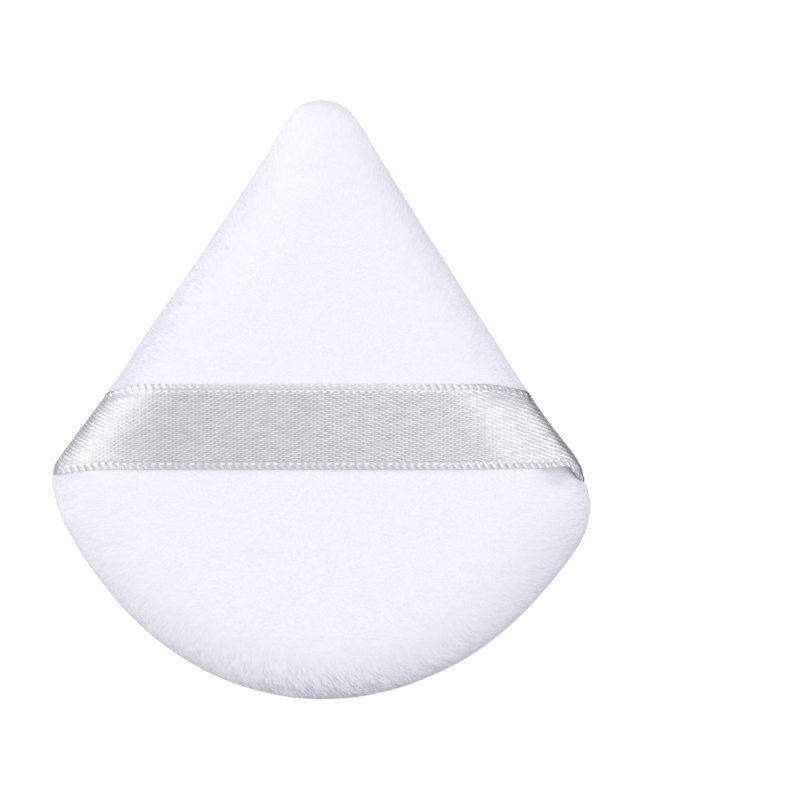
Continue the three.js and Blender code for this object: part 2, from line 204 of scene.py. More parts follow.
# ---------------------------------------------------------------------------------------------------
# Mesh making
def new_mesh(name, verts_mm, groups, layers, smooth=True):
    """groups: list of (faces, {layer: values per vertex}); faces is (n, 3) or (n, 4)."""
    me = bpy.data.meshes.new(name)
    v = np.asarray(verts_mm, np.float32) * M
    loops = np.concatenate([np.asarray(f, np.int32).reshape(-1) for f, _ in groups])
    sizes = np.concatenate([np.full(len(f), f.shape[1], np.int32) for f, _ in groups])
    me.vertices.add(len(v))
    me.vertices.foreach_set("co", v.reshape(-1))
    me.loops.add(len(loops))
    me.loops.foreach_set("vertex_index", loops)
    me.polygons.add(len(sizes))
    me.polygons.foreach_set("loop_start", np.concatenate([[0], np.cumsum(sizes)[:-1]]).astype(np.int32))
    me.polygons.foreach_set("use_smooth", np.full(len(sizes), smooth))
    for layer in layers:
        vals = []
        for f, maps in groups:
            t = maps[layer]
            vals.append((t(f) if callable(t) else np.asarray(t)[f]).reshape(-1, 2))
        me.uv_layers.new(name=layer).data.foreach_set("uv", np.vstack(vals).astype(np.float32).reshape(-1))
    me.update(calc_edges=True)
    ob = bpy.data.objects.new(name, me)
    scene.collection.objects.link(ob)
    return ob


def stitch(a, b):
    """Faces between two rings of vertex numbers; the finer may have a whole number of points to each of the other's."""
    if len(a) < len(b):
        return [f[:, ::-1] for f in stitch(b, a)]
    a1, b1 = np.roll(a, -1), np.roll(b, -1)
    if len(a) == len(b):
        return [np.stack([a, a1, b1, b], -1)]
    r = len(a) // len(b)
    fine = np.stack([np.roll(a, -k)[::r] for k in range(r + 1)], -1)
    tri = []
    for k in range(r):
        tri.append(np.stack([fine[:, k], fine[:, k + 1], b if k < r // 2 else b1], -1))
    tri.append(np.stack([fine[:, r // 2], b1, b], -1))
    return [np.vstack(tri)]


def volume(v, groups):
    tot = 0.0
    for f, _ in groups:
        a, b, c = v[f[:, 0]], v[f[:, 1]], v[f[:, 2]]
        tot += np.einsum("ij,ij->", a, np.cross(b, c))
        if f.shape[1] == 4:
            d = v[f[:, 3]]
            tot += np.einsum("ij,ij->", a, np.cross(c, d))
    return tot / 6


# ---------------------------------------------------------------------------------------------------
# Where the ribbon lies
def edge_x(y, side):
    """x of the outline at y, left (-1) or right (1)."""
    h = edge[(edge[:, 0] * side > 8)]
    h = h[np.argsort(h[:, 1])]
    return np.interp(y, h[:, 1], h[:, 0])


# how each end slips down as it turns over the edge, (by, over what length, power), at the upper and lower selvedge
SETTLE = {-1: ((1.0, 4.2, 1.9), (0.63, 5.0, 1.15)), 1: ((0.85, 4.5, 1.45), (1.5, 0.85, 0.8))}
# how far its pull sinks it into the edge, (places across it, by how much)
SINK = {-1: ((0, 0.1, 0.3, 0.5, 0.75, 0.88, 1), (0.6, 0.52, 0.56, 0.54, 0.43, 0.22, 0.42)),
        1: ((0, 0.05, 0.1, 0.55, 0.63, 0.67, 0.715, 0.76, 0.85, 0.893, 0.938, 1),
            (0.46, 0.36, 0.3, 0.28, 0.225, 0.17, 0.11, 0.07, 0.06, 0.13, 0.32, 0.48))}
# pulled tight, it leaves the pad this far in, runs straight and then turns down in a bend that begins so far in
TAUT = {-1: (2.6, 1.3), 1: (4.2, 1.9)}


def slips(a, side):
    """How far the upper and the lower selvedge have slipped, at a from the edge."""
    (ub, ui, up), (lb, li, lp) = SETTLE[side]
    a = np.asarray(a, float)
    top = ub * np.clip(1 - a / ui, 0, 1) ** up
    low = lb * np.clip(1 - a / li, 0, 1) ** lp
    if side > 0:
        low = low - 0.2 * np.exp(-(((a - 1.7) / 1.5) ** 2)) - 0.17 * ease(a, 15, 6) * ease(a, 0, 0.85)
    return top, low


def sink_at(t, side):
    return np.interp(t, *SINK[side])


def rise_top(d):
    return rise_of(d, TOP_RISE + SEAM_HALF_GAP - ROLL, TOP_CROWN)


def climb(d, wall_in, side):
    """Height of the ribbon over the pad's edge, at d in from where it comes up, which is wall_in from the outline."""
    leave, bend = TAUT[side]
    slope = float(rise_top(leave + 0.02) - rise_top(leave - 0.02)) / 0.04
    turn = math.atan(slope)
    radius = bend / (1 - math.sin(turn))
    line = rise_top(leave + wall_in) - slope * (leave - np.clip(d, bend, leave))
    line = line - radius * (math.cos(turn) - np.sqrt(np.clip(1 - (1 - np.clip(d, 0, bend) / radius) ** 2, 0, 1)))
    return np.where(d > leave, rise_top(d + wall_in), line)


def dent(p):
    """How far the cover is pressed in under the ribbon; below 0 where it swells up to fill the room under the bend."""
    x, y = p[..., 0], p[..., 1]
    d = depth(x, y)
    rim = ease(d, 0.5, 0.05)
    steep = (rise_top(d + 0.1) - rise_top(np.maximum(d, 0))) / 0.1
    out = np.zeros(x.shape)
    for side in (-1, 1):
        a = np.clip(side * (edge_x(y, side) - x), 0, None)
        top, low = slips(a, side)
        up, dn = RIBBON_TOP_Y - top, RIBBON_LOW_Y - low
        hem, fade = 0.3 - 0.5 * rim, 0.45 - 0.15 * rim            # a bed narrower than the ribbon, but wider down the edge
        bed = ease(y, up - hem, up - hem - fade) * ease(y, dn + hem, dn + hem + fade)
        sunk = sink_at(np.clip((up - y) / (up - dn), 0, 1), side)
        room = climb(d - 0.83 * (sunk - 0.1), 0.83 * (sunk - 0.1), side) - rise_top(d)
        fill = np.maximum(room, 0) / np.sqrt(1 + steep**2) * ease(p[..., 2], SEAM_Z + ROLL, SEAM_Z + ROLL + 0.8)
        fill = fill * ease(y, up + 0.6, up - 0.1) * (ease(y, dn - 0.2, dn + 1.2) if side > 0 else ease(y, dn - 0.5, dn + 0.3))
        deep = (rim * (sunk + 0.1) + (1 - rim) * 0.3) * bed - (1 - rim) * fill
        out = np.where(x * side >= 0, deep, out)
    return out


# ---------------------------------------------------------------------------------------------------
# The two velour covers
BEND = 56             # rings over the rounded edge
FLAT = 48             # rings from there to the middle
ROLLS = 7
# points round the outline, close together along the near edge, where the tufts show most
_line = closed_curve(OUTLINE, 9600)
_line = np.vstack([_line, _line[:1]])
_at = np.linspace(0, AROUND, len(_line))
_gap = (0.29 - 0.19 * ease(_line[:, 1], -14, -21)) * 1
_count = np.concatenate([[0], np.cumsum(2 / (_gap[1:] + _gap[:-1]))]) * (_at[1] - _at[0])
ROUND = 8 * int(_count[-1] / 8)
along_edge = np.interp(np.arange(ROUND) * _count[-1] / ROUND, _count, _at)
loop = np.stack([np.interp(along_edge, _at, _line[:, 0]), np.interp(along_edge, _at, _line[:, 1])], 1)
loop_in = inward(loop)


def skin(side):
    """The face of the pile: rings from the seam crease over the edge to the middle. side is 1 above, -1 below."""
    rise = (TOP_RISE if side > 0 else LOW_DROP) + SEAM_HALF_GAP - ROLL
    crown = TOP_CROWN if side > 0 else LOW_CROWN
    base = SEAM_Z + side * ROLL
    s = np.linspace(0, 1, 420)
    spoke = loop[:, None, :] + (MIDDLE - loop)[:, None, :] * s[None, :, None]
    d = depth(spoke[..., 0], spoke[..., 1])
    d[:, 0] = 0
    d = np.maximum.accumulate(d + 1e-6 * s, 1)
    rings = []
    for k in range(ROLLS, 0, -1):
        t = k / ROLLS
        p = loop + loop_in * (ROLL_IN * t**2.2)
        rings.append(np.column_stack([p, np.full(len(p), base - side * (ROLL - 0.05) * math.sin(t * math.pi / 2))]))
    for k in range(BEND):
        phi = (k / BEND) * math.pi / 2
        want = EDGE_ROUND * (1 - math.cos(phi) ** (2 / ROUND_POWER))
        at = np.array([np.interp(want, d[i], s) for i in range(len(loop))])
        p = loop + (MIDDLE - loop) * at[:, None]
        z = base + side * (rise * math.sin(phi) ** (2 / ROUND_POWER) + crown * (1 - np.exp(-want / CROWN_LENGTH)))
        rings.append(np.column_stack([p, np.full(len(p), z)]))
    at0 = np.array([np.interp(EDGE_ROUND, d[i], s) for i in range(len(loop))])
    for k in range(FLAT):
        p = loop + (MIDDLE - loop) * (at0 + (1 - at0) * (k / FLAT))[:, None]
        rings.append(np.column_stack([p, base + side * rise_of(depth(p[:, 0], p[:, 1]), rise, crown)]))
    s_ = np.array(rings)
    if side < 0:  # pressed flat where it lies
        z = s_[..., 2]
        s_[..., 2] = np.where(z > 3, z, 0.5 * (z + np.sqrt(z * z + 0.25**2)))
    return s_


def normals_of(s_):
    n = unit(np.cross(np.gradient(s_, axis=0), np.roll(s_, -1, 1) - np.roll(s_, 1, 1)))
    k = len(s_) // 3
    out = s_[k] - np.array([MIDDLE[0], MIDDLE[1], SEAM_Z])
    return n if (n[k] * out).sum() > 0 else -n


def run_of(s_):
    seg = np.linalg.norm(np.diff(s_, axis=0), axis=2)
    return np.concatenate([np.zeros((1, s_.shape[1])), np.cumsum(seg, 0)], 0)


def tufts(s_, n, run, seed):
    """Height of the pile over its mean face, fine and even on the flat and combed into tufts down the edge, and its
    painted tone: (tuft, shade), painted shade in the hollows between the tufts and over the rims; and where strands
    show.
    """
    q = along_edge[None, :] - 0.5 * run
    q = (q + 0.45 * noise(s_, 1.9, seed + 1)) % AROUND
    a = 1 - 2 * np.abs(noise_round(q, run, 0.42, 1.9, seed + 2))
    b = 1 - 2 * np.abs(noise_round(q, run + 0.9, 0.24, 1.2, seed + 3))
    c = noise(s_, 0.55, seed + 4)
    x, y = s_[..., 0], s_[..., 1]
    low = ease(y, -16, -26)                                 # combed hardest along the near edge
    zone = 0.14 + low * (0.08 + 0.78 * np.exp(-((x / 9.5) ** 2)))
    patch = 0.6 + 0.4 * ease(noise(s_, 3.4, seed + 5), -0.6, 0.5)
    tilt = np.abs(n[..., 2])
    flat_part = 0.016 * noise(s_, 0.75, seed + 6) + 0.012 * c + 0.03 * noise(s_, 3.4, seed + 7)
    comb = np.maximum(0.55 * a + 0.45 * b, -0.05)
    full = 0.13 * np.maximum(ease(y, -9, -13) * ease(x, 0, 10), ease(y, -22, -29))
    full = full + 0.14 * np.exp(-(((y + 9.1) / 0.9) ** 2)) * ease(x, -20, -28)
    high = flat_part + ease(tilt, 0.97, 0.6) * zone * patch * (0.4 + 0.6 * ease(tilt, 0.02, 0.35)) * (0.06 * a + 0.04 * b + 0.02 * c)
    high = high - 0.05 + full * ease(tilt, 0.9, 0.4)
    # painted shade: the colour is lighter on the tufts and darker in the hollows between them
    tuft = 0.5 + (comb - 0.4) * zone * patch * ease(run, 9.5, 4.5)
    # painted shade over the rims: on the flanks, and along the near edge, most to the right
    right = ease(x, -6, 10)
    flank = ease(y, 33, 24) * (1 - low) * (1 + ease(x, -8, -16) * (0.4 * ease(y, 14, 5) - 1.1 * ease(y, -7, -14)))
    shade = ease(run, 8.0, 3.0) * (0.8 * flank + low * (0.25 + 0.45 * right + 0.3 * ease(x, -10, -18))) + 0.3 * flank * ease(run, 13.0, 6.0)
    shade = shade + 0.75 * ease(run, 3.4, 1.6) * (1 - low) * ease(y, -7, -14) * ease(x, -8, -16)
    shade = shade + 0.45 * ease(run, 4.2, 1.6) * ease(y, -12, -18) * ease(x, -13, -19)
    shade = shade + low * (0.2 + 0.45 * np.exp(-((x / 12) ** 2))) * ease(run + 0.4 * (comb - 0.5) * zone, 5.4, 2.2)
    return high, np.stack([tuft, shade], -1), zone * ease(run, 9.5, 4.5)


def cover(name, side):
    s_ = skin(side)
    n = normals_of(s_)
    pressed = dent(s_) if side > 0 else dent(s_) * ease(s_[..., 2], 3.4, 5.2)
    if side > 0:  # the seam draws the cloth in beside the lower right corner of the ribbon
        pressed = pressed + 1.2 * np.exp(-((s_[..., 0] - 27.5) ** 2 + (s_[..., 1] + 8.7) ** 2) / 1.6**2)
    s_ = s_ - n * pressed[..., None]
    n = normals_of(s_)
    run = run_of(s_)
    high, pile, zone = tufts(s_, n, run, 11 if side > 0 else 61)
    face = s_ + n * high[..., None]
    if side < 0:
        face[..., 2] = np.maximum(face[..., 2], 0.0)
    dirs = unit(loop - MIDDLE)
    left = run[-1] + np.linalg.norm(s_[-1, :, :2] - MIDDLE, axis=1) - run
    bake = 0.53 + dirs[None] * left[..., None] / 118.0
    rows = len(face)
    # rings in order, from the middle of the inner face out to the seam and over to the middle of the outer face
    chain = []
    skip = 4
    inner_edge = MIDDLE + (loop - MIDDLE) * 0.775
    deep = s_ - n * 1.15
    for r in range(rows - 1, ROLLS + 2, -6):
        ring = deep[r][::skip]
        if (side * (ring[:, 2] - SEAM_Z)).min() > 1.25:
            chain.append(ring)
    back = (face[0][:, :2] + loop_in * 0.75)[::skip]
    shelf = inner_edge[::skip]
    chain.append(np.column_stack([shelf + (back - shelf) * 0.6, np.full(len(shelf), SEAM_Z + side * 0.95)]))
    chain.append(np.column_stack([shelf, np.full(len(shelf), SEAM_Z + side * 0.95)]))
    for t in (1.0, 0.6, 0.25):
        q = face[0][:, :2] + (inner_edge - face[0][:, :2]) * t
        chain.append(np.column_stack([q, np.full(ROUND, SEAM_Z + side * 0.2)])[:: 2 if t > 0.5 else 1])
    hidden = len(chain)
    strides = []
    for r in range(rows):
        k = r - ROLLS - BEND
        strides.append(1 if k < 2 else 2 if k < FLAT * 0.36 else 4 if k < FLAT * 0.74 else 8)
        chain.append(face[r][::strides[-1]])
    verts, ids, total = [], [], 0
    for ring in chain:
        verts.append(ring)
        ids.append(total + np.arange(len(ring)))
        total += len(ring)
    inner_top = chain[0].mean(0)
    verts += [inner_top[None], np.array([[MIDDLE[0], MIDDLE[1], face[-1, :, 2].mean()]])]
    v = np.vstack(verts)
    # maps
    bake_t = 0.012 + (v[:, :2] + 40) / 80 * 0.05
    nap_t = np.zeros((len(v), 2))
    pile_t = np.tile([0.5, 0.0], (len(v), 1))
    hair_t = np.zeros((len(v), 2))
    for r in range(rows):
        pile_t[ids[hidden + r]] = pile[r][::strides[r]]
        hair_t[ids[hidden + r], 0] = zone[r][::strides[r]]
        bake_t[ids[hidden + r]] = bake[r][::strides[r]]
        nap_t[ids[hidden + r]] = np.stack([along_edge, run[r]], 1)[::strides[r]]
    island = 0.012 + (v[:, :2] + 40) / 80 * 0.05
    bake_t[total + 1] = 0.53
    nap_t[total + 1] = (0, run[-1].mean() + 1)

    def nap(f):
        t = nap_t[f].copy()
        wide = t[..., 0].max(1) - t[..., 0].min(1) > AROUND / 2
        low = wide[:, None] & (t[..., 0] < AROUND / 2)
        t[..., 0][low] += AROUND
        return t

    out_maps = {"OFBake": bake_t, "nap": nap, "pile": pile_t, "hair": hair_t}
    in_maps = {"OFBake": island, "nap": np.zeros((len(v), 2)), "pile": pile_t, "hair": hair_t}
    groups = [(np.stack([np.roll(ids[0], -1), ids[0], np.full(len(ids[0]), total)], -1)[:, ::-1], in_maps)]
    for k in range(len(chain) - 1):
        for f in stitch(ids[k], ids[k + 1]):
            groups.append((f[:, ::-1], in_maps if k < hidden else out_maps))
    last = ids[-1]
    groups.append((np.stack([np.roll(last, -1), last, np.full(len(last), total + 1)], -1), out_maps))
    if volume(v, groups) < 0:
        groups = [(f[:, ::-1], maps) for f, maps in groups]
    return new_mesh(name, v, groups, ("OFBake", "nap", "pile", "hair")), face


strap_side, face_top = cover("strap_side_velour", 1)
powder_side, face_low = cover("powder_side_velour", -1)


# ---------------------------------------------------------------------------------------------------
# Ribbon: two lengths that meet in the middle, each from its tail in the seam to x = 0
FLOAT = 0.884                   # one float of the satin and the gap after it


def ribbon(name, side):
    fine = np.linspace(0, 0.95, 11)
    wide = np.concatenate([fine[:-1], np.linspace(0.95, 9.05, 44)[:-1], 10 - fine[::-1]])
    t = wide / 10
    y0 = RIBBON_TOP_Y + t * (RIBBON_LOW_Y - RIBBON_TOP_Y)
    lift = -0.03                                            # pressed into the pile

    def slip(a):
        top, low = slips(a, side)
        return (1 - t) * top + t * low

    inset = sink_at(t, side) - 0.1
    y_end = y0 - slip(0)
    wall = edge_x(y_end, side) - side * inset
    wall_in = depth(wall, y_end)
    def over(a):
        y = y0 - slip(a)
        x = edge_x(y, side) - side * (a + inset * ease(a, 3.0, 0.0))
        d = np.maximum(depth(x, y) - wall_in, 0)
        return np.stack([x, y, SEAM_Z + ROLL + climb(d, wall_in, side) + lift], 1)

    rows = [np.stack([wall - side * a, y_end, np.full_like(y0, SEAM_Z)], 1) for a in np.linspace(TAIL_IN, 0.7, 10)]
    # round the edge, from the seam up on to the cover
    for a, z in ((0.3, 0.02), (0.12, 0.14), (0.03, 0.42), (0.0, 0.85)):
        rows.append(np.stack([wall - side * a, y_end, np.full_like(y0, SEAM_Z + z)], 1))
    foot, head = rows[-1][:, 2], SEAM_Z + ROLL + climb(np.zeros_like(y0), wall_in, side) + lift
    for k in range(1, 6):
        rows.append(np.stack([wall, y_end, foot + (head - foot) * k / 6], 1))
    for a in np.concatenate([[0.0, 0.02, 0.05, 0.1, 0.16, 0.23, 0.31, 0.4, 0.5, 0.61, 0.73, 0.86], np.arange(1.0, 21, 0.16)]):
        rows.append(over(a))
    # from slanting rows to the straight join in the middle
    x_from = rows[-1][:, 0]
    steps = 70
    for k in range(1, steps + 1):
        x = x_from * (1 - k / steps)
        rows.append(np.stack([x, y0, top_z(x, y0) + lift], 1))
    g = np.array(rows)
    # even steps along the ribbon, by the middle line
    run = np.concatenate([[0], np.cumsum(np.linalg.norm(np.diff(g[:, len(t) // 2], axis=0), axis=1))])
    want = np.linspace(0, run[-1], int(run[-1] / (0.125)))
    g = np.stack([np.stack([np.interp(want, run, g[:, j, c]) for c in range(3)], 1) for j in range(len(t))], 1)
    for _ in range(3):  # ease the corners left by the joins
        g[1:-1] = 0.25 * g[:-2] + 0.5 * g[1:-1] + 0.25 * g[2:]
    R, C = g.shape[:2]
    nrm = unit(np.cross(np.gradient(g, axis=0), np.gradient(g, axis=1)))
    if nrm[-1, C // 2, 2] < 0:
        nrm = -nrm
    step = np.linalg.norm(np.diff(g, axis=0), axis=2)
    reach = side * np.concatenate([np.cumsum(step[::-1], 0)[::-1], np.zeros((1, C))], 0)       # along the ribbon, 0 in the middle
    across = np.zeros((R, 1)) + wide[None, :]
    rim = np.minimum(across, 10 - across)
    lower = across > 5
    # woven selvedges: a beaded cord along each long edge, and inside it a line of longer floats
    far = np.abs(np.clip(side * (edge_x(g[..., 1], side) - g[..., 0]), 0, None))
    slant = np.where(lower, 1, -1) * 0.3 * rim / 0.6
    bead = 0.5 + 0.5 * np.cos(2 * math.pi * (reach / FLOAT + slant + np.where(lower, 0.12, 0.55)))
    dash = ease(np.cos(2 * math.pi * (reach / FLOAT + np.where(lower, 0.45, 0.1))), -0.35, 0.35)
    cord = np.sqrt(np.clip(1 - ((rim - 0.31) / 0.34) ** 2, 0, 1))
    line = np.clip(1 - ((rim - np.where(lower, 0.685, 0.84)) / 0.11) ** 2, 0, 1)
    knots = np.where(lower, 0.035 + 0.085 * ease(far, 14, 5), 0.01 + 0.1 * ease(far, 13, 5))
    high = RIBBON_T / 2 + cord * (0.03 + knots * bead**0.8) + line * 0.045 * dash
    sideways = unit(np.gradient(g, axis=1))
    pic = (0.075 * (bead - 0.5) * np.clip(1 - rim / 0.45, 0, 1) * np.where(lower, 1.0, -1.0))[..., None] * sideways
    upper = g + nrm * high[..., None] + pic
    under = g - nrm * (RIBBON_T / 2 * np.clip(0.8 + rim / 1.2, 0.8, 1))[..., None] + pic
    v = np.vstack([upper.reshape(-1, 3), under.reshape(-1, 3)])
    i, j = np.meshgrid(np.arange(R - 1), np.arange(C - 1), indexing="ij")
    a0 = (i * C + j).reshape(-1)
    top_f = np.stack([a0, a0 + C, a0 + C + 1, a0 + 1], -1)
    off = R * C
    ring = np.concatenate([np.arange(C), np.arange(1, R) * C + C - 1, (R - 1) * C + np.arange(C - 1)[::-1], np.arange(1, R - 1)[::-1] * C])
    side_f = np.stack([np.roll(ring, -1), np.roll(ring, -1) + off, ring + off, ring], -1)
    # maps: one to bake through, one along the weave, one true across
    flat_uv = np.stack([0.02 + want[:, None] / 42 + np.zeros((1, C)), 0.02 + across / 42], -1).reshape(-1, 2)
    weave = np.stack([reach, RIBBON_TOP_Y - g[..., 1]], -1).reshape(-1, 2)
    band = np.stack([reach, across], -1).reshape(-1, 2)
    turned = np.stack([far, np.full_like(far, float(side < 0))], -1).reshape(-1, 2)
    top_maps = {"OFBake": np.vstack([flat_uv, flat_uv]), "weave": np.vstack([weave, weave]), "band": np.vstack([band, band]),
                "turned": np.vstack([turned, turned])}
    low_maps = {"OFBake": np.vstack([flat_uv, flat_uv]) + [0, 0.27], "weave": top_maps["weave"], "band": top_maps["band"], "turned": top_maps["turned"]}
    wall_maps = {"OFBake": 0.9 + 0.05 * np.vstack([flat_uv, flat_uv]), "weave": top_maps["weave"], "band": top_maps["band"], "turned": top_maps["turned"]}
    groups = [(top_f, top_maps), (top_f[:, ::-1] + off, low_maps), (side_f, wall_maps)]
    if volume(v, groups) < 0:
        groups = [(f[:, ::-1], maps) for f, maps in groups]
    ob = new_mesh(name, v, groups, ("OFBake", "weave", "band", "turned"))
    ob.data.set_sharp_from_angle(angle=math.radians(55))
    return ob, float(want[-1])


rib_left, len_left = ribbon("ribbon_left", -1)
rib_right, len_right = ribbon("ribbon_right", 1)


# ---------------------------------------------------------------------------------------------------
# Materials
class Nodes:
    def __init__(self, name):
        self.mat = bpy.data.materials.new(name)
        self.mat.use_nodes = True
        self.t = self.mat.node_tree
        self.bsdf = self.t.nodes["Principled BSDF"]

    def new(self, kind, **props):
        n = self.t.nodes.new(kind)
        for k, v in props.items():
            setattr(n, k, v)
        return n

    def link(self, a, b):
        self.t.links.new(a, b)

    def math(self, op, *args):
        n = self.new("ShaderNodeMath", operation=op)
        for i, x in enumerate(args):
            if isinstance(x, (int, float)):
                n.inputs[i].default_value = x
            else:
                self.link(x, n.inputs[i])
        return n.outputs[0]

    def span(self, x, lo, hi, a=0.0, b=1.0):
        n = self.new("ShaderNodeMapRange", interpolation_type="SMOOTHSTEP")
        self.link(x, n.inputs["Value"])
        for k, v in (("From Min", lo), ("From Max", hi), ("To Min", a), ("To Max", b)):
            n.inputs[k].default_value = v
        return n.outputs["Result"]

    def noise(self, vec, scale, detail=2.0, rough=0.5, dims="3D"):
        n = self.new("ShaderNodeTexNoise", noise_dimensions=dims)
        n.inputs["Scale"].default_value = scale
        n.inputs["Detail"].default_value = detail
        n.inputs["Roughness"].default_value = rough
        self.link(vec, n.inputs["Vector"])
        return n.outputs["Fac"]

    def uv(self, name):
        return self.new("ShaderNodeUVMap", uv_map=name).outputs["UV"]

    def scaled(self, vec, x, y):
        n = self.new("ShaderNodeMapping")
        n.inputs["Scale"].default_value = (x, y, 1)
        self.link(vec, n.inputs["Vector"])
        return n.outputs["Vector"]

    def xy(self, vec):
        n = self.new("ShaderNodeSeparateXYZ")
        self.link(vec, n.inputs[0])
        return n.outputs["X"], n.outputs["Y"]

    def ramp(self, fac, stops):
        n = self.new("ShaderNodeValToRGB")
        e = n.color_ramp.elements
        while len(e) < len(stops):
            e.new(0.5)
        for el, (pos, col) in zip(e, stops):
            el.position = pos
            el.color = (*col, 1)
        self.link(fac, n.inputs["Fac"])
        return n.outputs["Color"]

    def bump(self, height, strength, distance):
        n = self.new("ShaderNodeBump")
        n.inputs["Strength"].default_value = strength
        n.inputs["Distance"].default_value = distance
        self.link(height, n.inputs["Height"])
        return n.outputs["Normal"]

    def set(self, **values):
        for k, v in values.items():
            self.bsdf.inputs[k.replace("_", " ")].default_value = v


def velour(name):
    """Short pile: fine grains on the flat, combed streaks where it turns over the edge."""
    m = Nodes(name)
    co = m.new("ShaderNodeTexCoord").outputs["Object"]
    nap = m.uv("nap")
    around, run = m.xy(nap)
    grain = m.noise(co, 3600, 2.0, 0.6)                    # about 0.3 mm
    cloud = m.noise(co, 420, 3.0, 0.55)
    comb = m.noise(m.scaled(nap, 4.2, 0.75), 1.0, 3.0, 0.6, "2D")
    at_edge = m.span(run, 6.0, 11.0, 1.0, 0.0)
    mix = m.math("ADD", m.math("MULTIPLY", comb, at_edge), m.math("MULTIPLY", grain, m.math("SUBTRACT", 1.0, m.math("MULTIPLY", at_edge, 0.6))))
    mix = m.math("DIVIDE", mix, m.math("ADD", 1.0, m.math("MULTIPLY", at_edge, 0.4)))
    tone = m.math("ADD", m.math("MULTIPLY", mix, 0.7), m.math("MULTIPLY", cloud, 0.3))
    # the pile map: tuft, painted shade between the tufts, and shade, painted shade over the rims
    tuft, shade = m.xy(m.uv("pile"))
    tone = m.math("ADD", tone, m.math("MULTIPLY", m.math("SUBTRACT", tuft, 0.5), 0.9))
    # single strands over the tufts
    lie = m.math("ADD", m.math("SUBTRACT", around, m.math("MULTIPLY", run, 0.55)), m.math("MULTIPLY", m.noise(co, 700, 1.0), 1.3))
    strand = m.new("ShaderNodeCombineXYZ")
    m.link(m.math("MULTIPLY", lie, 6.0), strand.inputs[0])
    m.link(m.math("MULTIPLY", run, 0.8), strand.inputs[1])
    hair = m.span(m.noise(strand.outputs[0], 1.0, 2.0, 0.55, "2D"), 0.4, 0.66)
    thick, _ = m.xy(m.uv("hair"))
    tone = m.math("ADD", tone, m.math("MULTIPLY", m.math("MULTIPLY", m.math("SUBTRACT", hair, 0.45), thick), 0.8))
    # painted shade over the rims; it reaches the darker, bluer stops of the ramp
    tone = m.math("SUBTRACT", tone, m.math("MULTIPLY", shade, 0.3))
    tone = m.math("MULTIPLY", m.math("ADD", tone, 0.25), 0.8)
    m.link(m.ramp(tone, [(0.0, (0.662, 0.635, 0.754)), (0.2, (0.757, 0.735, 0.85)), (0.4, (0.852, 0.835, 0.946)), (0.6, (0.905, 0.893, 0.974)), (0.8, (0.935, 0.926, 0.995))]),
           m.bsdf.inputs["Base Color"])
    m.set(Roughness=0.95)
    m.bsdf.inputs["Specular IOR Level"].default_value = 0.12
    m.bsdf.inputs["Sheen Weight"].default_value = 0.06
    m.bsdf.inputs["Sheen Roughness"].default_value = 0.5
    m.link(m.bump(mix, 0.35, 0.00025), m.bsdf.inputs["Normal"])
    return m.mat


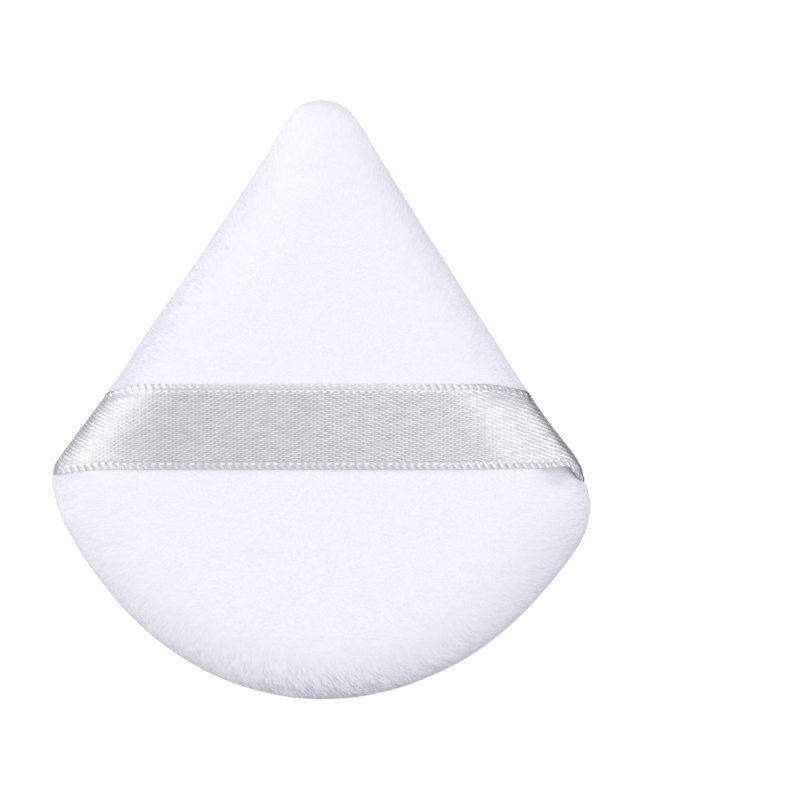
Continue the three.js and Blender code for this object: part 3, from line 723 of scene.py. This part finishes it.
def satin(name):
    """Floats lie along the ribbon, in staggered rows; beaded selvedges."""
    m = Nodes(name)
    u, v = m.xy(m.uv("weave"))
    w = m.math("ADD", u, 7.0)
    climb = m.math("MULTIPLY", m.math("MULTIPLY", w, m.math("MULTIPLY", w, w)), 0.0000269)
    r = m.math("DIVIDE", m.math("ADD", m.math("ADD", v, m.math("MULTIPLY", u, 0.09)), climb), 0.2326)
    row = m.math("FLOOR", r)
    fr = m.math("ABSOLUTE", m.math("SUBTRACT", m.math("FRACT", r), 0.5))
    along = m.math("ADD", m.math("DIVIDE", u, FLOAT), m.math("MULTIPLY", row, 0.5))
    far, on_left = m.xy(m.uv("turned"))
    on_right = m.math("SUBTRACT", 1.0, on_left)
    slant = m.math("ADD", m.math("MULTIPLY", on_left, m.span(far, 2.6, 4.2, 1.0, 0.0)), m.math("MULTIPLY", on_right, m.span(far, 6.8, 9.6, 1.0, 0.0)))
    lean = m.math("ADD", m.math("SUBTRACT", 0.2, m.span(u, -3.0, 4.0, 0.0, 0.3)), m.span(u, 9.0, 13.0, 0.0, 0.2))
    lean = m.math("ADD", m.math("MULTIPLY", lean, m.math("SUBTRACT", 1.0, slant)), m.math("MULTIPLY", slant, -0.42))
    along = m.math("ADD", along, m.math("MULTIPLY", lean, m.math("SUBTRACT", m.math("FRACT", r), 0.5)))
    ph = m.math("ABSOLUTE", m.math("SUBTRACT", m.math("FRACT", along), 0.5))
    body = m.math("SUBTRACT", 1.0, m.math("MULTIPLY", m.math("POWER", m.math("MULTIPLY", fr, 2.0), 2.0), m.math("SUBTRACT", 1.0, m.math("MULTIPLY", slant, 0.2))))
    ends = m.span(ph, 0.14, 0.46, 1.0, 0.0)
    height = m.math("MULTIPLY", body, ends)
    # each float a little different
    cell = m.new("ShaderNodeCombineXYZ")
    m.link(m.math("FLOOR", along), cell.inputs[0])
    m.link(row, cell.inputs[1])
    white = m.new("ShaderNodeTexWhiteNoise", noise_dimensions="2D")
    m.link(cell.outputs[0], white.inputs["Vector"])
    vary = m.math("MULTIPLY", m.math("SUBTRACT", white.outputs["Value"], 0.5), 0.3)
    field = m.math("ADD", m.math("ADD", m.math("MULTIPLY", height, 0.7), 0.12), vary)
    field = m.math("ADD", field, m.math("MULTIPLY", m.math("SUBTRACT", field, 0.5), m.math("MULTIPLY", slant, m.math("SUBTRACT", 0.6, m.math("MULTIPLY", on_left, 0.4)))))
    # painted highlight: brighter just before the turn, where the ribbon tilts toward the side light
    turn_highlight = m.math("ADD", m.math("MULTIPLY", on_left, m.math("MULTIPLY", m.span(far, 1.8, 3.6), m.span(far, 6.0, 11.0, 1.0, 0.0))),
                     m.math("MULTIPLY", on_right, m.math("MULTIPLY", m.span(far, 2.4, 5.2), m.span(far, 6.5, 12.5, 1.0, 0.0))))
    field = m.math("ADD", field, m.math("MULTIPLY", turn_highlight, m.math("SUBTRACT", 0.13, m.math("MULTIPLY", on_left, 0.04))))
    bu, bv = m.xy(m.uv("band"))
    # painted highlight: a bright band across the right end where it starts to turn down
    skewed = m.math("ADD", far, m.math("MULTIPLY", m.math("SUBTRACT", bv, 4.0), 0.08))
    turn_band_highlight = m.math("MULTIPLY", m.span(skewed, 0.9, 1.8), m.span(far, 1.9, 3.6, 1.0, 0.0))
    field = m.math("ADD", field, m.math("MULTIPLY", m.math("MULTIPLY", turn_band_highlight, on_right), 0.25))
    # painted light on the upper part of the fold itself, and painted shade from a crease on what lies behind it
    fold_light = m.math("MULTIPLY", m.math("MULTIPLY", m.span(far, 0.35, 0.75, 1.0, 0.0), m.span(bv, 5.5, 7.5, 1.0, 0.0)), 0.6)
    crease = m.math("MULTIPLY", m.math("MULTIPLY", m.span(far, 0.3, 0.5), m.span(far, 0.75, 1.15, 1.0, 0.0)), m.math("MULTIPLY", m.span(bv, 5.5, 7.5), 0.4))
    crease = m.math("ADD", crease, m.math("MULTIPLY", m.math("MULTIPLY", m.span(far, 0.55, 0.8), m.span(far, 1.1, 1.6, 1.0, 0.0)), m.math("MULTIPLY", m.span(bv, 3.0, 5.0, 1.0, 0.0), 0.25)))
    field = m.math("ADD", field, m.math("MULTIPLY", m.math("SUBTRACT", fold_light, crease), on_right))
    # where the left end turns down the rows open, and painted shade darkens the gaps between them; at the very edge a
    # painted highlight lightens it
    opened_rows_shade = m.math("MULTIPLY", m.math("MULTIPLY", m.span(far, 1.2, 2.6, 1.0, 0.0), m.span(far, 0.45, 1.2, 0.25, 1.15)), on_left)
    field = m.math("ADD", field, m.math("MULTIPLY", m.math("SUBTRACT", m.math("MULTIPLY", field, 1.3), 1.0), opened_rows_shade))
    field = m.math("ADD", field, m.math("MULTIPLY", m.span(far, 0.5, 1.1, 0.5, 0.0), on_left))
    # the selvedges: a cord in blocks, then a line of bright floats with a painted highlight, then a groove darkened
    # with painted shade
    low_side = m.math("GREATER_THAN", bv, 5.0)
    rim = m.math("MINIMUM", bv, m.math("SUBTRACT", 10.0, bv))
    in_band = m.span(rim, 0.84, 0.98, 1.0, 0.0)
    twist = m.noise(m.scaled(m.uv("band"), 3.0, 9.0), 1.0, 2.0, 0.6, "2D")
    float_highlight = m.math("ABSOLUTE", m.math("SUBTRACT", m.math("FRACT", m.math("ADD", m.math("DIVIDE", bu, FLOAT), m.math("MULTIPLY", low_side, 0.35))), 0.5))
    float_highlight = m.span(float_highlight, 0.16, 0.34, 1.0, 0.0)
    which = m.new("ShaderNodeCombineXYZ")
    m.link(m.math("FLOOR", m.math("ADD", m.math("DIVIDE", bu, FLOAT), m.math("MULTIPLY", low_side, 0.35))), which.inputs[0])
    m.link(low_side, which.inputs[1])
    chance = m.new("ShaderNodeTexWhiteNoise", noise_dimensions="2D")
    m.link(which.outputs[0], chance.inputs["Vector"])
    float_highlight = m.math("MULTIPLY", float_highlight, m.span(chance.outputs["Value"], 0.15, 0.85, 0.5, 1.3))
    line_at = m.math("SUBTRACT", 0.84, m.math("MULTIPLY", low_side, 0.155))
    on_line = m.span(m.math("ABSOLUTE", m.math("SUBTRACT", rim, line_at)), 0.03, 0.11, 1.0, 0.0)
    groove_shade = m.span(m.math("ABSOLUTE", m.math("SUBTRACT", rim, 0.95)), 0.04, 0.14, 1.0, 0.0)
    cord = m.math("ADD", m.math("MULTIPLY", twist, m.math("ADD", 0.3, m.math("MULTIPLY", low_side, 0.14))), m.math("SUBTRACT", 0.2, m.math("MULTIPLY", low_side, 0.12)))
    cord = m.math("ADD", cord, m.math("MULTIPLY", m.math("SUBTRACT", 1.0, low_side), m.math("MULTIPLY", height, 0.4)))
    # painted highlight on the floats of the line
    cord = m.math("ADD", cord, m.math("MULTIPLY", on_line, m.math("SUBTRACT", m.math("MULTIPLY", float_highlight, 1.5), 0.25)))
    # towards both ends its knots get bright leaning strokes, a painted highlight where the ends tilt to the light
    beaded = m.math("ADD", m.math("MULTIPLY", on_left, m.span(far, 4.0, 11.0, 1.0, 0.0)), m.math("MULTIPLY", on_right, m.span(far, 9.0, 18.0, 1.0, 0.0)))
    knot_highlight = m.math("ADD", m.math("DIVIDE", bu, FLOAT), m.math("MULTIPLY", rim, m.math("SUBTRACT", low_side, 0.5)))
    knot_highlight = m.math("ADD", knot_highlight, m.math("ADD", 0.05, m.math("MULTIPLY", low_side, 0.57)))
    knot_highlight = m.span(m.math("ABSOLUTE", m.math("SUBTRACT", m.math("FRACT", knot_highlight), 0.5)), 0.06, 0.28, 1.0, 0.0)
    cord = m.math("ADD", cord, m.math("MULTIPLY", beaded, m.math("SUBTRACT", m.math("MULTIPLY", knot_highlight, 0.8), 0.2)))
    # painted shade in the groove of the lower selvedge
    field = m.math("SUBTRACT", field, m.math("MULTIPLY", groove_shade, m.math("MULTIPLY", low_side, 0.25)))
    high_side = m.math("SUBTRACT", 1.0, low_side)
    # painted light on the rows just inside the upper selvedge
    lit = m.span(m.math("ABSOLUTE", m.math("SUBTRACT", rim, 1.0)), 0.05, 0.16, 1.0, 0.0)
    field = m.math("ADD", field, m.math("MULTIPLY", lit, m.math("MULTIPLY", high_side, 0.2)))
    # painted light on the upper cord off its line, and on the outer edge of the lower cord
    paler = m.math("MULTIPLY", high_side, m.math("MULTIPLY", m.math("SUBTRACT", 1.0, on_line), 0.1))
    cord = m.math("ADD", cord, m.math("ADD", paler, m.math("MULTIPLY", m.span(rim, 0.1, 0.24, 0.2, 0.0), low_side)))
    # painted shade on the upper cord over the right half
    cord_shade = m.math("ADD", m.math("MULTIPLY", on_line, m.span(far, 4.0, 9.0, 0.0, 0.4)), m.math("MULTIPLY", m.span(rim, 0.2, 0.45, 0.27, 0.0), m.span(far, 9.0, 26.0, 1.0, 0.0)))
    cord = m.math("SUBTRACT", cord, m.math("MULTIPLY", cord_shade, m.math("MULTIPLY", high_side, on_right)))
    tone = m.math("ADD", m.math("MULTIPLY", field, m.math("SUBTRACT", 1.0, in_band)), m.math("MULTIPLY", cord, in_band))
    # painted shade at both corners of the right end, which are seen edge on, and over some millimetres of the upper one
    corner = m.math("ADD", m.math("MULTIPLY", m.span(far, 0.8, 1.6, 1.0, 0.0), m.span(bv, 0.7, 1.6, 1.0, 0.0)), m.math("MULTIPLY", m.span(far, 0.6, 1.0, 1.0, 0.0), m.span(bv, 8.7, 9.3)))
    wider = m.math("MULTIPLY", m.span(far, 0.8, 4.4, 1.0, 0.0), m.span(bv, 0.9, 3.2, 1.0, 0.0))
    corner = m.math("ADD", m.math("MULTIPLY", corner, 0.4), m.math("MULTIPLY", wider, 0.3))
    reach = m.math("ADD", far, m.math("MULTIPLY", m.math("ABSOLUTE", m.math("SUBTRACT", bv, 1.0)), 1.5))
    corner = m.math("ADD", corner, m.math("MULTIPLY", m.math("MULTIPLY", m.span(far, 0.8, 2.0), m.span(reach, 3.5, 8.5, 1.0, 0.0)), m.math("MULTIPLY", m.span(bv, 0.9, 3.6, 0.8, 0.0), m.math("SUBTRACT", 1.35, m.math("MULTIPLY", height, 0.8)))))
    tone = m.math("SUBTRACT", tone, m.math("MULTIPLY", corner, on_right))
    # painted shade on the upper line and the lower corner of the left end, and the rows above the lower cord a little
    # lighter
    left_end_shade = m.math("MULTIPLY", m.span(far, 1.5, 5.0, 0.7, 0.0), m.span(m.math("ABSOLUTE", m.math("SUBTRACT", bv, 1.05)), 0.3, 0.55, 1.0, 0.0))
    left_end_shade = m.math("MULTIPLY", left_end_shade, m.span(far, 0.4, 1.2, 0.3, 1.0))
    left_end_shade = m.math("ADD", left_end_shade, m.math("MULTIPLY", m.span(far, 0.5, 1.8, 0.8, 0.0), m.span(bv, 8.2, 9.0)))
    beside = m.math("MULTIPLY", m.math("MULTIPLY", m.span(far, 3.5, 5.5), m.span(far, 8.5, 12.5, 1.0, 0.0)), m.span(bv, 7.2, 8.2, 0.0, 0.18))
    tone = m.math("ADD", tone, m.math("MULTIPLY", m.math("SUBTRACT", beside, left_end_shade), on_left))
    m.link(m.ramp(m.math("MULTIPLY", tone, 0.625), [(0.0, (0.495, 0.485, 0.528)), (0.3125, (0.708, 0.696, 0.754)), (0.625, (0.868, 0.856, 0.908)), (1.0, (1.0, 0.99, 1.0))]),
           m.bsdf.inputs["Base Color"])
    m.set(Roughness=0.33, Metallic=0.8)
    m.bsdf.inputs["Specular IOR Level"].default_value = 0.6
    m.bsdf.inputs["Anisotropic"].default_value = 0.6
    m.bsdf.inputs["Anisotropic Rotation"].default_value = 0.25
    tan = m.new("ShaderNodeTangent", direction_type="UV_MAP", uv_map="band")
    m.link(tan.outputs[0], m.bsdf.inputs["Tangent"])
    relief = m.math("ADD", m.math("MULTIPLY", height, m.math("SUBTRACT", 1.0, in_band)), m.math("MULTIPLY", twist, m.math("MULTIPLY", in_band, 0.6)))
    m.link(m.bump(relief, 0.5, 0.00005), m.bsdf.inputs["Normal"])
    return m.mat


def plain(name, col_a, col_b, scale, bump_scale, bump, dist, rough):
    m = Nodes(name)
    co = m.new("ShaderNodeTexCoord").outputs["Object"]
    m.link(m.ramp(m.noise(co, scale, 3.0), [(0.3, col_a), (0.7, col_b)]), m.bsdf.inputs["Base Color"])
    m.link(m.bump(m.noise(co, bump_scale, 2.0), bump, dist), m.bsdf.inputs["Normal"])
    m.set(Roughness=rough)
    return m.mat


mat_velour = velour("velour_pile")
mat_satin = satin("satin_weave")
mat_foam = plain("sponge", (0.84, 0.8, 0.68), (0.93, 0.9, 0.8), 900, 1600, 0.9, 0.0006, 1.0)
mat_thread = plain("spun_thread", (0.84, 0.83, 0.88), (0.95, 0.94, 0.98), 3000, 5000, 0.5, 0.0001, 0.8)


def wear(ob, mat):
    ob.data.materials.clear()
    ob.data.materials.append(mat)


wear(strap_side, mat_velour)
wear(powder_side, mat_velour)
wear(rib_left, mat_satin)
wear(rib_right, mat_satin)
for name, mat in (("foam_core", mat_foam), ("seam_needle_thread", mat_thread), ("seam_bobbin_thread", mat_thread),
                  ("closing_thread", mat_thread), ("left_ribbon_tack", mat_thread), ("right_ribbon_tack", mat_thread)):
    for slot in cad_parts[name].material_slots:
        slot.material = mat

# ---------------------------------------------------------------------------------------------------
# How the pieces ride
for ob in (strap_side, powder_side):
    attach(ob, "pad")
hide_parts("strap_side_cover")
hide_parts("powder_side_cover")
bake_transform(rib_left)
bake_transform(rib_right)
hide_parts("ribbon_left_end", "ribbon_left_leg", "ribbon_span")
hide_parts("ribbon_right_end", "ribbon_right_leg")

# ---------------------------------------------------------------------------------------------------
# Floor, light and camera
floor_me = bpy.data.meshes.new("floor")
floor_me.from_pydata([(-3, -3, 0), (3, -3, 0), (3, 3, 0), (-3, 3, 0)], [], [(0, 1, 2, 3)])
floor = bpy.data.objects.new("floor", floor_me)
scene.collection.objects.link(floor)
fm = Nodes("pale_floor")
fm.set(Base_Color=(0.35, 0.35, 0.35, 1), Roughness=0.9)
fm.bsdf.inputs["Emission Color"].default_value = (1, 1, 1, 1)
fm.bsdf.inputs["Emission Strength"].default_value = 0.8
fm.bsdf.inputs["Specular IOR Level"].default_value = 0.0
floor_me.materials.append(fm.mat)
floor.location.z = -0.0002
floor.visible_glossy = False
floor.visible_diffuse = False

# soft surroundings: white walls to the left and right, a paler ceiling, fading below the horizon
SKY, SKY_X, SKY_Y = 0.4, -0.1, 0.15
WALLS, CEILING = 1.0, 0.45
BELOW, BELOW_X = 0.36, -0.3
world = bpy.data.worlds.new("soft_studio")
scene.world = world
world.use_nodes = True
wt = world.node_tree
bg = wt.nodes["Background"]
bg.inputs["Color"].default_value = (1, 1, 1, 1)
wc = wt.nodes.new("ShaderNodeTexCoord")
ws = wt.nodes.new("ShaderNodeSeparateXYZ")
wt.links.new(wc.outputs["Generated"], ws.inputs[0])


def wmath(op, a, b):
    n = wt.nodes.new("ShaderNodeMath")
    n.operation = op
    for i, x in enumerate((a, b)):
        if isinstance(x, (int, float)):
            n.inputs[i].default_value = x
        else:
            wt.links.new(x, n.inputs[i])
    return n.outputs[0]


wx, wy, wz = ws.outputs["X"], ws.outputs["Y"], ws.outputs["Z"]
sky = wmath("ADD", wmath("MULTIPLY", wx, SKY_X), wmath("MULTIPLY", wy, SKY_Y))
sky = wmath("ADD", sky, wmath("MULTIPLY", wmath("MULTIPLY", wx, wx), WALLS))
sky = wmath("ADD", sky, wmath("MULTIPLY", wmath("MULTIPLY", wz, wz), CEILING))
sky = wmath("ADD", sky, SKY)


def wmap(x, *span):
    n = wt.nodes.new("ShaderNodeMapRange")
    wt.links.new(x, n.inputs["Value"])
    for key, val in zip(("From Min", "From Max", "To Min", "To Max"), span):
        n.inputs[key].default_value = val
    return n.outputs["Result"]


clear = wmap(wz, -0.55, -0.2, 0.0, 1.0)
low = wmath("ADD", wmath("MULTIPLY", wx, BELOW_X), BELOW)
sky = wmath("MULTIPLY", sky, wmath("ADD", clear, wmath("MULTIPLY", wmath("SUBTRACT", 1.0, clear), low)))
wt.links.new(wmath("MAXIMUM", sky, 0.02), bg.inputs["Strength"])


def area(name, way, distance, size, power, aim=(0, -0.004, 0.008)):
    li = bpy.data.lights.new(name, "AREA")
    li.shape = "RECTANGLE"
    li.size, li.size_y = size
    li.energy = power
    ob = bpy.data.objects.new(name, li)
    scene.collection.objects.link(ob)
    at = Vector(aim) + Vector(way).normalized() * distance
    ob.location = at
    ob.rotation_euler = (Vector(aim) - at).to_track_quat("-Z", "Y").to_euler()
    ob.visible_camera = False
    return ob


area("left_light", (-0.68, 0.43, 0.53), 0.9, (0.5, 0.44), 0.63)
area("right_light", (0.38, 0.26, 0.89), 0.9, (0.5, 0.75), 1.08)

PX = 10.0 / 86.0               # millimetres of the puff per pixel of an 800-pixel frame
DIST = 2.0
cam_data = bpy.data.cameras.new("camera")
cam = bpy.data.objects.new("camera", cam_data)
scene.collection.objects.link(cam)
cam.location = ((400 - 321) * PX * M, (399 - 400) * PX * M, 0.008 + DIST)
cam.rotation_euler = (0, 0, 0)
cam_data.sensor_width = 36.0
cam_data.lens = 36.0 * DIST / (800 * PX * M)
cam_data.clip_start, cam_data.clip_end = 0.01, 20
scene.camera = cam
scene.view_settings.view_transform = "Standard"
scene.view_settings.look = "None"
